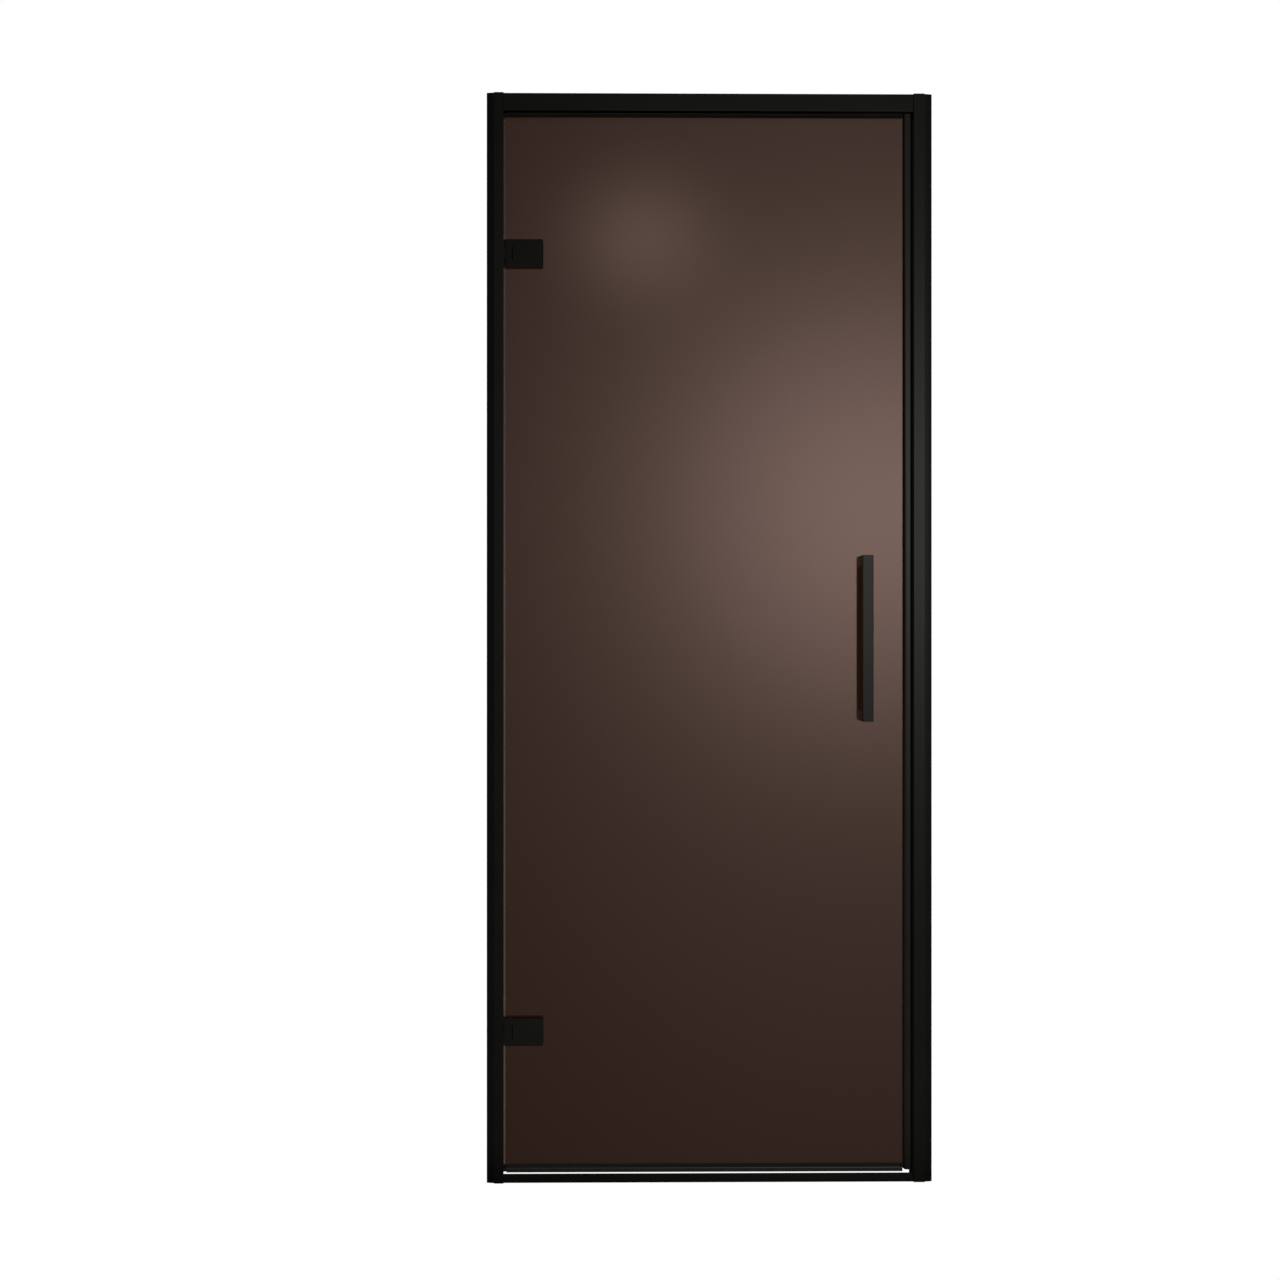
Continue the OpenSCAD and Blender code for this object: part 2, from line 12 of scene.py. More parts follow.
import bpy
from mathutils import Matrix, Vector


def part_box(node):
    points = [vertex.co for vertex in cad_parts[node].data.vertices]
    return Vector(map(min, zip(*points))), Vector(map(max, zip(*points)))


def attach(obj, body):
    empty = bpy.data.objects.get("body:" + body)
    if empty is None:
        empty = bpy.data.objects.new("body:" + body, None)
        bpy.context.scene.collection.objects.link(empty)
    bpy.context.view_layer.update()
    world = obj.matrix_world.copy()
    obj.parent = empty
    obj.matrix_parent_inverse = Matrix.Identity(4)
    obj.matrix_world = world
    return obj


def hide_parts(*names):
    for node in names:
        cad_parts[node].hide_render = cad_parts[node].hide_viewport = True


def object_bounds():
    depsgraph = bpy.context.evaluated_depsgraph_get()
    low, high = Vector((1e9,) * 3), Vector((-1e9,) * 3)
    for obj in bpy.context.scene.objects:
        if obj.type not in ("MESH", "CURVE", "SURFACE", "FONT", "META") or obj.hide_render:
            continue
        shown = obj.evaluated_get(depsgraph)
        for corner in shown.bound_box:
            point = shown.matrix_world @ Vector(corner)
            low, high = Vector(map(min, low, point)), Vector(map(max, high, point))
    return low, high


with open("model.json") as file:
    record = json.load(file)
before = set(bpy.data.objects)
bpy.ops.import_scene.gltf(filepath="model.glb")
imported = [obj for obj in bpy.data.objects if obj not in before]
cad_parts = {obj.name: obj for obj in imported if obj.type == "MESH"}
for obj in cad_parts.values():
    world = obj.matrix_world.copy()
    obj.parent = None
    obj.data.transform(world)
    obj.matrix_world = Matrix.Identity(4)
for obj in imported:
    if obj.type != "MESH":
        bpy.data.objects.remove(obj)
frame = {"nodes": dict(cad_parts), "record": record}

MM = 0.001
cad_low, cad_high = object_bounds()
nodes = frame["nodes"]
print("CAD box from", [round(v, 4) for v in cad_low], "to", [round(v, 4) for v in cad_high])

# %% [markdown]
# The photograph was taken almost square on with a normal lens, a little left of the door's
# middle and at half its height. The distance follows from how far the near and the far
# edges of sill, header and handle part in the picture, and the small turn to the right
# from the right jamb being a little shorter than the left.

# %% Camera
camera_data = bpy.data.cameras.new("studio_camera")
camera_data.lens = 35.0
camera_data.sensor_width = 36.0
camera = bpy.data.objects.new("studio_camera", camera_data)
bpy.context.scene.collection.objects.link(camera)
camera.location = (0.263, -2.302, -0.004)
camera.rotation_euler = (math.radians(90.0), 0.0, math.radians(-0.457))
bpy.context.scene.camera = camera
bpy.context.scene.view_settings.view_transform = "Standard"
bpy.context.scene.view_settings.look = "None"
print("camera", tuple(round(v, 3) for v in camera.location))

# %% [markdown]
# Every finish here starts from the same few steps: make a material, find its Principled
# shader, set the plain values on it, and drive what varies from noise in Object
# coordinates. Each piece sits at the origin, so Object coordinates are metres on the door.

# %% Material helpers
def start_material(name, color, roughness, metallic=0.0):
    """A new material with its Principled shader set, returned with its node tree."""
    material = bpy.data.materials.new(name)
    material.use_nodes = True
    shader = material.node_tree.nodes["Principled BSDF"]
    shader.inputs["Base Color"].default_value = (*color, 1.0)
    shader.inputs["Roughness"].default_value = roughness
    shader.inputs["Metallic"].default_value = metallic
    return material, material.node_tree, shader


def add_node(tree, kind, **values):
    """Adds a node, and sets its properties and its named inputs."""
    node = tree.nodes.new(kind)
    for key, value in values.items():
        if key in node.inputs:
            node.inputs[key].default_value = value
        else:
            setattr(node, key, value)
    return node


def object_coordinates(tree):
    """The Object output of a Texture Coordinate node."""
    return add_node(tree, "ShaderNodeTexCoord").outputs["Object"]


def map_value(tree, source, from_range=(0.0, 1.0), to_range=(0.0, 1.0)):
    """Maps a value from one range onto another. Either end may be changed later."""
    mapped = add_node(tree, "ShaderNodeMapRange")
    mapped.inputs["From Min"].default_value, mapped.inputs["From Max"].default_value = from_range
    mapped.inputs["To Min"].default_value, mapped.inputs["To Max"].default_value = to_range
    tree.links.new(source, mapped.inputs["Value"])
    return mapped


def combine(tree, operation, first, second):
    """A Math node fed by two values, each a socket or a plain number."""
    step = add_node(tree, "ShaderNodeMath", operation=operation)
    for socket, value in zip(step.inputs, (first, second)):
        if isinstance(value, float):
            socket.default_value = value
        else:
            tree.links.new(value, socket)
    return step.outputs[0]


print("material helpers are ready")

# %% [markdown]
# Powder coat is sprayed on as dust and melted, so it dries to a fine pebbled skin. One
# group makes that skin for every coated piece: small bumps, a slow unevenness in how
# glossy it is, and a faint change of tone. Each material sets the grain's size itself.

# %% Powder coat group
def new_group(name, inputs, outputs):
    """A shader node group with its sockets, each given as (name, type, default)."""
    group = bpy.data.node_groups.new(name, "ShaderNodeTree")
    for socket_name, kind, value in inputs:
        socket = group.interface.new_socket(name=socket_name, in_out="INPUT", socket_type=kind)
        if value is not None:
            socket.default_value = value
    for socket_name, kind in outputs:
        group.interface.new_socket(name=socket_name, in_out="OUTPUT", socket_type=kind)
    return group, group.nodes.new("NodeGroupInput"), group.nodes.new("NodeGroupOutput")


coat_group, coat_in, coat_out = new_group(
    "powder_coat_skin",
    [("Vector", "NodeSocketVector", None), ("Grain", "NodeSocketFloat", 900.0),
     ("Low roughness", "NodeSocketFloat", 0.4), ("High roughness", "NodeSocketFloat", 0.5)],
    [("Height", "NodeSocketFloat"), ("Roughness", "NodeSocketFloat"), ("Tone", "NodeSocketFloat")],
)
link = coat_group.links.new
pebbles = add_node(coat_group, "ShaderNodeTexNoise", Detail=2.0, Roughness=0.55)
link(coat_in.outputs["Vector"], pebbles.inputs["Vector"])
link(coat_in.outputs["Grain"], pebbles.inputs["Scale"])
clouds = add_node(coat_group, "ShaderNodeTexNoise", Scale=14.0, Detail=4.0)
link(coat_in.outputs["Vector"], clouds.inputs["Vector"])
gloss = map_value(coat_group, clouds.outputs["Fac"], (0.3, 0.7))
link(coat_in.outputs["Low roughness"], gloss.inputs["To Min"])
link(coat_in.outputs["High roughness"], gloss.inputs["To Max"])
link(pebbles.outputs["Fac"], coat_out.inputs["Height"])
link(gloss.outputs["Result"], coat_out.inputs["Roughness"])
link(clouds.outputs["Fac"], coat_out.inputs["Tone"])
print("group", coat_group.name, "is ready")

# %% [markdown]
# Coat is thinnest on sharp edges, and hands and cleaning polish it there first. The edge
# group finds them by comparing the true normal with one that is rounded over a small
# radius. Noise breaks the line up, so that the wear comes and goes along an edge.

# %% Edge wear group
wear_group, wear_in, wear_out = new_group(
    "edge_wear",
    [("Vector", "NodeSocketVector", None), ("Amount", "NodeSocketFloat", 1.0)],
    [("Mask", "NodeSocketFloat")],
)
link = wear_group.links.new
true_normal = add_node(wear_group, "ShaderNodeNewGeometry")
rounded = add_node(wear_group, "ShaderNodeBevel", samples=4, Radius=0.0007)
likeness = add_node(wear_group, "ShaderNodeVectorMath", operation="DOT_PRODUCT")
link(true_normal.outputs["Normal"], likeness.inputs[0])
link(rounded.outputs["Normal"], likeness.inputs[1])
edge = map_value(wear_group, likeness.outputs["Value"], (0.99, 0.80))
patches = add_node(wear_group, "ShaderNodeTexNoise", Scale=60.0, Detail=3.0)
link(wear_in.outputs["Vector"], patches.inputs["Vector"])
broken = map_value(wear_group, patches.outputs["Fac"], (0.35, 0.65))
worn = combine(wear_group, "MULTIPLY", edge.outputs["Result"], broken.outputs["Result"])
link(combine(wear_group, "MULTIPLY", worn, wear_in.outputs["Amount"]), wear_out.inputs["Mask"])
print("group", wear_group.name, "is ready")

# %% [markdown]
# The matte black isn't one tone. In the photograph frame, leaf, hinges and handles differ a little,
# so frame, leaf and hinges each have their own pair of near blacks; the handles share the frame's
# pair and the bottom rail the leaf's. The hinges are more matte and the bottom rail shines more.
# The tone wanders between the pair, worn edges go a little lighter, and the shine is slightly warm.

# %% Coated metal
WORN_EDGE = (0.016, 0.0155, 0.0145, 1.0)
WARM_SHINE = (1.0, 0.985, 0.93, 1.0)
SKIN_DEPTH = 0.2 * MM
WEAR_AMOUNT = 0.6


def coated_metal(name, tones, rough, grain, bump, sheen=0.1):
    """Powder-coated metal: tone between two near blacks, pebbled skin, uneven gloss."""
    dark, light = tones
    material, tree, shader = start_material(name, dark, rough[1])
    shader.inputs["Specular IOR Level"].default_value = sheen
    shader.inputs["Specular Tint"].default_value = WARM_SHINE
    skin = tree.nodes.new("ShaderNodeGroup")
    skin.node_tree = coat_group
    skin.inputs["Grain"].default_value = grain
    skin.inputs["Low roughness"].default_value = rough[0]
    skin.inputs["High roughness"].default_value = rough[1]
    tree.links.new(object_coordinates(tree), skin.inputs["Vector"])
    tone = add_node(tree, "ShaderNodeMix", data_type="RGBA")
    tone.inputs[6].default_value = (*dark, 1.0)
    tone.inputs[7].default_value = (*light, 1.0)
    tree.links.new(skin.outputs["Tone"], tone.inputs[0])
    wear = tree.nodes.new("ShaderNodeGroup")
    wear.node_tree = wear_group
    wear.inputs["Amount"].default_value = WEAR_AMOUNT
    tree.links.new(object_coordinates(tree), wear.inputs["Vector"])
    rubbed = add_node(tree, "ShaderNodeMix", data_type="RGBA")
    rubbed.inputs[7].default_value = WORN_EDGE
    tree.links.new(wear.outputs["Mask"], rubbed.inputs[0])
    tree.links.new(tone.outputs[2], rubbed.inputs[6])
    tree.links.new(rubbed.outputs[2], shader.inputs["Base Color"])
    tree.links.new(skin.outputs["Roughness"], shader.inputs["Roughness"])
    bumps = add_node(tree, "ShaderNodeBump", Strength=bump, Distance=SKIN_DEPTH)
    tree.links.new(skin.outputs["Height"], bumps.inputs["Height"])
    tree.links.new(bumps.outputs["Normal"], shader.inputs["Normal"])
    return material


frame_tones = ((0.0013, 0.0012, 0.0010), (0.0022, 0.0021, 0.0018))
leaf_tones = ((0.0033, 0.0031, 0.0026), (0.0046, 0.0044, 0.0037))
hinge_tones = ((0.0027, 0.0026, 0.0022), (0.0041, 0.0039, 0.0033))
satin = (0.14, 0.19)
matte = (0.26, 0.34)
frame_coat = coated_metal("black_frame_coat", frame_tones, satin, 1100.0, 0.10)
leaf_coat = coated_metal("black_leaf_coat", leaf_tones, satin, 1100.0, 0.10)
hinge_coat = coated_metal("black_hinge_coat", hinge_tones, matte, 1400.0, 0.12, 0.045)
handle_coat = coated_metal("black_handle_coat", frame_tones, satin, 1500.0, 0.08)
rail_coat = coated_metal("black_rail_coat", leaf_tones, satin, 1100.0, 0.10, 0.28)
print("coats:", [coat.name for coat in (frame_coat, leaf_coat, hinge_coat, handle_coat, rail_coat)])

# %% [markdown]
# The glass is body-tinted bronze: it lets a few percent of the light through, and mirrors
# the studio's soft lights with a warm cast. A clear Principled transmission shader does
# both, and a faint glow of its own stands in for the light of the room behind, which the
# dark back of this studio doesn't give. Toughened glass is never quite flat, so a very
# slow wave bends its reflections, and a thin uneven film softens them here and there.

# %% Tinted glass
glass, glass_tree, glass_shader = start_material("bronze_glass", (0.0030, 0.0012, 0.0006), 0.1)
glass_shader.inputs["Transmission Weight"].default_value = 1.0
glass_shader.inputs["IOR"].default_value = 1.5
glass_shader.inputs["Specular Tint"].default_value = (1.0, 0.68, 0.59, 1.0)
glass_shader.inputs["Emission Color"].default_value = (0.0110, 0.0047, 0.0023, 1.0)
glass_shader.inputs["Emission Strength"].default_value = 1.0
wave = add_node(glass_tree, "ShaderNodeTexNoise", Scale=2.5, Detail=1.0)
glass_tree.links.new(object_coordinates(glass_tree), wave.inputs["Vector"])
wave_bump = add_node(glass_tree, "ShaderNodeBump", Strength=0.05, Distance=0.002)
glass_tree.links.new(wave.outputs["Fac"], wave_bump.inputs["Height"])
glass_tree.links.new(wave_bump.outputs["Normal"], glass_shader.inputs["Normal"])
film = add_node(glass_tree, "ShaderNodeTexNoise", Scale=30.0, Detail=5.0)
glass_tree.links.new(object_coordinates(glass_tree), film.inputs["Vector"])
film_range = map_value(glass_tree, film.outputs["Fac"], to_range=(0.08, 0.12))
glass_tree.links.new(film_range.outputs["Result"], glass_shader.inputs["Roughness"])
print("glass is", glass.name)

# %% [markdown]
# The small pieces are moulded plastic and rubber, and the pins and screws are ground steel. All
# have one colour, with a fine grain in their gloss and surface. In the photograph the clear seal is
# a thin warm line that fades towards the top, so its vinyl is tinted, and a painted glow stands in
# for the light the floor throws on it: it is strongest low down and fades towards the top in the
# same way.

# %% Plastics, rubber and steel
def moulded(name, color, rough, grain, bump, sheen=0.5):
    """Rubber or plastic: one colour, a fine grain in its roughness and its surface."""
    material, tree, shader = start_material(name, color, rough)
    shader.inputs["Specular IOR Level"].default_value = sheen
    grains = add_node(tree, "ShaderNodeTexNoise", Scale=grain, Detail=3.0)
    tree.links.new(object_coordinates(tree), grains.inputs["Vector"])
    spread = map_value(tree, grains.outputs["Fac"], to_range=(rough - 0.08, rough + 0.08))
    tree.links.new(spread.outputs["Result"], shader.inputs["Roughness"])
    bumps = add_node(tree, "ShaderNodeBump", Strength=bump, Distance=SKIN_DEPTH)
    tree.links.new(grains.outputs["Fac"], bumps.inputs["Height"])
    tree.links.new(bumps.outputs["Normal"], shader.inputs["Normal"])
    return material, shader


soft_black = (0.008, 0.008, 0.008)
warm_black = (0.007, 0.007, 0.0066)
magnet_black = (0.004, 0.004, 0.004)
rubber = moulded("black_soft_rubber", soft_black, 0.62, 1200.0, 0.2, 0.15)[0]
plastic = moulded("black_moulded_plastic", warm_black, 0.5, 2000.0, 0.1, 0.12)[0]
magnet = moulded("magnet_strip_plastic", magnet_black, 0.5, 800.0, 0.1, 0.1)[0]
seal, seal_shader = moulded("clear_edge_seal", (0.50, 0.34, 0.29), 0.2, 300.0, 0.05, 0.15)
seal_shader.inputs["Transmission Weight"].default_value = 0.95
seal_shader.inputs["IOR"].default_value = 1.48
seal_shader.inputs["Emission Strength"].default_value = 1.0
seal_tree = seal.node_tree
seal_place = add_node(seal_tree, "ShaderNodeSeparateXYZ")
seal_tree.links.new(object_coordinates(seal_tree), seal_place.inputs[0])
seal_height = map_value(seal_tree, seal_place.outputs["Z"], (0.1, 0.95))
# Painted light: the seal's glow stands in for the floor's light on it, full near the bottom and
# faint at the top.
seal_painted_floor_glow = add_node(seal_tree, "ShaderNodeMix", data_type="RGBA")
seal_painted_floor_glow.inputs[6].default_value = (0.034, 0.0175, 0.0133, 1.0)
seal_painted_floor_glow.inputs[7].default_value = (0.004, 0.002, 0.0015, 1.0)
seal_tree.links.new(seal_height.outputs["Result"], seal_painted_floor_glow.inputs[0])
seal_tree.links.new(seal_painted_floor_glow.outputs[2], seal_shader.inputs["Emission Color"])
steel, steel_shader = moulded("ground_pin_steel", (0.45, 0.45, 0.44), 0.3, 600.0, 0.05)
steel_shader.inputs["Metallic"].default_value = 1.0
print("materials:", len(bpy.data.materials))

# %% [markdown]
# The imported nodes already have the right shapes, so each one only gets its finish. The
# list follows the material slots of the record.

# %% Finishes on the CAD nodes
finish_of = {
    "black_frame": frame_coat, "black_leaf": leaf_coat, "black_hinge": hinge_coat,
    "black_handle": handle_coat, "tinted_glass": glass, "clear_seal": seal,
    "black_rubber": rubber, "magnet_strip": magnet, "black_plastic": plastic, "pin_steel": steel,
}
for part in frame["record"]["subparts"]:
    cad_mesh = nodes[part["node"]].data
    cad_mesh.materials.clear()
    cad_mesh.materials.append(finish_of[part["material_slot"]])

# %% [markdown]
# New pieces are modelled by hand tools: a primitive, edit mode, then modifiers. Everything
# is deselected first, because loading leaves the CAD nodes selected. When a piece is done
# its place is applied, so that its object sits at the origin like a CAD node. Weighted
# normals keep the big flat faces flat beside their small rounded edges.

# %% Modelling helpers
SAME_PLACE = 1e-6
X, Y, Z = 0, 1, 2


def deselect():
    """Leaves nothing selected and no edit mode open."""
    if bpy.context.object and bpy.context.object.mode != "OBJECT":
        bpy.ops.object.mode_set(mode="OBJECT")
    bpy.ops.object.select_all(action="DESELECT")


def add_block(low, high):
    """A block between two corners, ready to be shaped."""
    deselect()
    low, high = Vector(low), Vector(high)
    bpy.ops.mesh.primitive_cube_add(size=1.0, location=(low + high) / 2)
    block = bpy.context.object
    block.scale = high - low
    bpy.ops.object.transform_apply(location=True, rotation=False, scale=True)
    return block


def add_rod(centre, radius, length, axis="Y", sides=48):
    """A round rod along one axis, centred on a point."""
    deselect()
    turn = {"X": (0, math.pi / 2, 0), "Y": (math.pi / 2, 0, 0), "Z": (0, 0, 0)}[axis]
    bpy.ops.mesh.primitive_cylinder_add(
        vertices=sides, radius=radius, depth=length, location=centre, rotation=turn)
    bpy.ops.object.transform_apply(location=True, rotation=True, scale=True)
    return bpy.context.object


def edges_along(axis):
    """A test for edges that run along an axis, 0 to 2 for X to Z."""
    others = [i for i in range(3) if i != axis]
    return lambda a, b: all(abs(a[i] - b[i]) < SAME_PLACE for i in others)


def edges_at(axis, level):
    """A test for edges that lie at one level of an axis, 0 to 2 for X to Z."""
    return lambda a, b: abs(a[axis] - level) < SAME_PLACE and abs(b[axis] - level) < SAME_PLACE


def bevel_edges(piece, wanted, width, segments):
    """Bevels the edges for which wanted(start, end) is true."""
    deselect()
    bpy.context.view_layer.objects.active = piece
    piece.select_set(True)
    mesh = piece.data
    for face in mesh.polygons:
        face.select = False
    for point in mesh.vertices:
        point.select = False
    for edge in mesh.edges:
        a, b = (mesh.vertices[i].co for i in edge.vertices)
        edge.select = bool(wanted(a, b))
    bpy.ops.object.mode_set(mode="EDIT")
    bpy.ops.mesh.select_mode(type="EDGE")
    bpy.ops.mesh.bevel(offset=width, segments=segments, profile=0.5)
    bpy.ops.object.mode_set(mode="OBJECT")


def cut_with(piece, tool):
    """Cuts one piece with another and deletes the tool."""
    deselect()
    bpy.context.view_layer.objects.active = piece
    cut = piece.modifiers.new("cut", "BOOLEAN")
    cut.operation = "DIFFERENCE"
    cut.object = tool
    cut.solver = "EXACT"
    bpy.ops.object.modifier_apply(modifier=cut.name)
    bpy.data.objects.remove(tool)


def complete(piece, name, material, body, smooth_deg=35.0):
    """Names a piece, shades it, gives it its finish and the body that it rides on."""
    deselect()
    bpy.context.view_layer.objects.active = piece
    piece.select_set(True)
    bpy.ops.object.shade_smooth_by_angle(angle=math.radians(smooth_deg))
    flatten = piece.modifiers.new("flat_faces_stay_flat", "WEIGHTED_NORMAL")
    flatten.keep_sharp = True
    flatten.weight = 100
    bpy.ops.object.modifier_apply(modifier=flatten.name)
    piece.name = name
    piece.data.name = name
    piece.data.materials.clear()
    piece.data.materials.append(material)
    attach(piece, body)
    print(name, "faces", len(piece.data.polygons))


def copy_moved(piece, offset):
    """A copy with a mesh of its own, moved by an offset that is applied."""
    twin = piece.copy()
    twin.data = piece.data.copy()
    bpy.context.scene.collection.objects.link(twin)
    for point in twin.data.vertices:
        point.co += Vector(offset)
    return twin


def join_all(pieces):
    """Joins several pieces into one mesh."""
    deselect()
    for piece in pieces:
        piece.select_set(True)
    bpy.context.view_layer.objects.active = pieces[0]
    bpy.ops.object.join()
    return bpy.context.object


print("modelling helpers are ready")

# %% [markdown]
# The profiles that hold the glass don't end in a square step: their glazing beads slope
# down to the glass, which keeps water out of the corner and lets the glass show right up
# to its edge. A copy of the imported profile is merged, and the points of its bead slide
# along, inner wall and outer wall together, so that the wall keeps its thickness. The
# clear seal's lips reach a little further over the glass in the same way, and the soft
# sweep hangs a little lower under the leaf.

# %% Sloped beads
def reshape(node, moved):
    """A merged copy of a CAD node, its points moved by a function."""
    deselect()
    piece = nodes[node].copy()
    piece.data = nodes[node].data.copy()
    bpy.context.scene.collection.objects.link(piece)
    bpy.context.view_layer.objects.active = piece
    piece.select_set(True)
    bpy.ops.object.mode_set(mode="EDIT")
    bpy.ops.mesh.select_all(action="SELECT")
    bpy.ops.mesh.remove_doubles(threshold=0.00001)
    bpy.ops.object.mode_set(mode="OBJECT")
    count = 0
    for point in piece.data.vertices:
        place = moved(point.co)
        if place is not None:
            point.co = place
            count += 1
    print(node, "points moved:", count, "of", len(piece.data.vertices))
    return piece


NEAR = 0.01 * MM
GLASS_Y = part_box("glass_pane")[0].y
STILE_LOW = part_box("strike_stile")[0]
RAIL_LOW, RAIL_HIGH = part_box("bottom_rail")
SEAL_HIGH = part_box("hinge_edge_seals")[1]
SWEEP_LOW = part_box("drip_sweep")[0]
BEAD_WALL, BEAD_FADE = 1.9 * MM, 1.5 * MM
STILE_SLIDE, STILE_SLOPE = 2.0 * MM, 1.9 * MM
RAIL_BEAD, RAIL_SLOPE = 2.0 * MM, 4.2 * MM
SEAL_REACH, SWEEP_DROP = 1.4 * MM, 1.2 * MM


def slope_stile(point):
    """Moves the stile's glass-side wall to the right, more at its front than at the glass."""
    if point.x > STILE_LOW.x + BEAD_WALL + BEAD_FADE or point.y > GLASS_Y + NEAR:
        return None
    share = (GLASS_Y - point.y) / (GLASS_Y - STILE_LOW.y)
    reach = 1.0 - max(0.0, point.x - STILE_LOW.x - BEAD_WALL) / BEAD_FADE
    slide = (STILE_SLIDE + STILE_SLOPE * share) * max(0.0, reach)
    return Vector((point.x + slide, point.y, point.z))


def slope_rail(point):
    """Lowers the top of the bottom rail's front bead, more at its front than at the glass."""
    if point.z < RAIL_HIGH.z - RAIL_BEAD or point.y > GLASS_Y + NEAR:
        return None
    share = (GLASS_Y - point.y) / (GLASS_Y - RAIL_LOW.y)
    return Vector((point.x, point.y, point.z - RAIL_SLOPE * share))


def widen_seal(point):
    """Draws the clear seal's lips a little further over the glass."""
    if point.x < SEAL_HIGH.x - 0.1 * MM:
        return None
    return Vector((point.x + SEAL_REACH, point.y, point.z))


def drop_sweep(point):
    """Lets the soft sweep's underside hang a little lower."""
    if point.z > SWEEP_LOW.z + 0.7 * MM:
        return None
    return Vector((point.x, point.y, point.z - SWEEP_DROP))


for node, new_name, moved, coat, slot in (
        ("hinge_edge_seals", "hinge_edge_clear_seals", widen_seal, seal, "clear_seal"),
        ("drip_sweep", "soft_drip_sweep", drop_sweep, rubber, "black_rubber"),
        ("strike_stile", "strike_stile_profile", slope_stile, leaf_coat, "black_leaf"),
        ("stile_end_caps", "stile_profile_end_caps", slope_stile, plastic, "black_plastic"),
        ("bottom_rail", "bottom_rail_profile", slope_rail, rail_coat, "black_leaf")):
    profile = reshape(node, moved)
    complete(profile, new_name, coat, "door", 25.0)
    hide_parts(node)

# %% [markdown]
# A hinge's front plate is a milled block with softly broken edges. It starts as a block of
# the CAD plate's size. The four corners seen from the front are rounded, then the edge
# around the front face gets a fine chamfer that catches the light, and last the notch for
# the knuckle and the bore for the pin are cut out of it.

# %% Hinge front plates
PLATE_R = 3.0 * MM
EDGE_BREAK = 0.6 * MM
KNUCKLE_HALF = 12.4 * MM
NOTCH_X = 47.9 * MM
PIN_X, PIN_Y, PIN_R = 43.0 * MM, -12.8 * MM, 2.5 * MM
OVER = 5.0 * MM


def build_front_plate(node):
    """A front plate with its knuckle notch and a pin bore that stays shut at the bottom."""
    low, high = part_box(node)
    middle = (low.z + high.z) / 2
    plate = add_block(low, high)
    bevel_edges(plate, edges_along(Y), PLATE_R, 8)
    bevel_edges(plate, edges_at(Y, low.y), EDGE_BREAK, 3)
    notch_low = (low.x - OVER, low.y - OVER, middle - KNUCKLE_HALF)
    notch_high = (NOTCH_X, high.y + OVER, middle + KNUCKLE_HALF)
    cut_with(plate, add_block(notch_low, notch_high))
    bore_middle = (PIN_X, PIN_Y, middle + 1.0 * MM)
    cut_with(plate, add_rod(bore_middle, PIN_R, high.z - low.z, axis="Z"))
    return plate


for level in ("upper", "lower"):
    plate = build_front_plate(f"{level}_hinge_front_plate")
    complete(plate, f"{level}_hinge_front_block", hinge_coat, "door")
    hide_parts(f"{level}_hinge_front_plate")

# %% [markdown]
# The back plate clamps the glass from the inside. It is a plain block with the same
# corners, a broken edge round its inner face, and two countersunk holes that cones cut.

# %% Hinge back plates
CLAMP_INSET = 20.0 * MM
CLAMP_STEPS = (-13.0 * MM, 13.0 * MM)


def add_sink(centre, narrow, wide, depth):
    """A cone along Y, its wide end on a point and its narrow end in front of it."""
    deselect()
    middle = Vector(centre) - Vector((0.0, depth / 2, 0.0))
    bpy.ops.mesh.primitive_cone_add(
        vertices=48, radius1=narrow, radius2=wide, depth=depth,
        location=middle, rotation=(-math.pi / 2, 0.0, 0.0))
    bpy.ops.object.transform_apply(location=True, rotation=True, scale=True)
    return bpy.context.object


def build_back_plate(node):
    """A back plate with two countersunk holes."""
    low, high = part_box(node)
    plate = add_block(low, high)
    bevel_edges(plate, edges_along(Y), PLATE_R, 8)
    bevel_edges(plate, edges_at(Y, high.y), EDGE_BREAK, 3)
    for step in CLAMP_STEPS:
        place = Vector((high.x - CLAMP_INSET, high.y, (low.z + high.z) / 2 + step))
        cut_with(plate, add_rod((place.x, (low.y + high.y) / 2, place.z), 3.2 * MM, 20 * MM))
        wide_end = place + Vector((0.0, 0.1 * MM, 0.0))
        cut_with(plate, add_sink(wide_end, 3.0 * MM, 5.6 * MM, 2.6 * MM))
    return plate


for level in ("upper", "lower"):
    plate = build_back_plate(f"{level}_hinge_back_plate")
    complete(plate, f"{level}_hinge_back_block", hinge_coat, "door")
    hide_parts(f"{level}_hinge_back_plate")

# %% [markdown]
# Each handle bar is a flat bar with rolled long edges and lightly broken ends. The long
# edges are bevelled first and the ends after, so that the small end chamfer runs round.

# %% Handle bars
def build_bar(node):
    """A flat bar with rolled long edges and lightly broken ends."""
    low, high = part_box(node)
    bar = add_block(low, high)
    bevel_edges(bar, edges_along(Z), 1.2 * MM, 5)
    for end in (low.z, high.z):
        bevel_edges(bar, edges_at(Z, end), 0.5 * MM, 2)
    return bar


for side in ("outer", "inner"):
    bar = build_bar(f"{side}_handle_bar")
    complete(bar, f"{side}_handle_flat_bar", handle_coat, "door")
    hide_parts(f"{side}_handle_bar")

# %% [markdown]
# The screws that clamp the hinges come in from the inside, with flat heads and hexagon
# sockets. Each starts as a rod: its underside is tapered to sit in the countersink, the
# rim is broken, and a six-sided tool cuts the socket. One is modelled, the others are
# copies of it.

# %% Clamp screws
HEAD_TAPER = 0.55


def build_flat_screw(centre, radius, depth, socket):
    """A flat-headed socket screw whose head faces +Y, with its face centred on a point."""
    head = add_rod((centre[0], centre[1] - depth / 2, centre[2]), radius, depth)
    back = centre[1] - depth
    for point in head.data.vertices:
        if abs(point.co.y - back) < SAME_PLACE:
            point.co.x = centre[0] + (point.co.x - centre[0]) * HEAD_TAPER
            point.co.z = centre[2] + (point.co.z - centre[2]) * HEAD_TAPER
    bevel_edges(head, edges_at(Y, centre[1]), 0.25 * MM, 2)
    cut_with(head, add_rod(centre, socket, depth * 1.1, sides=6))
    return head


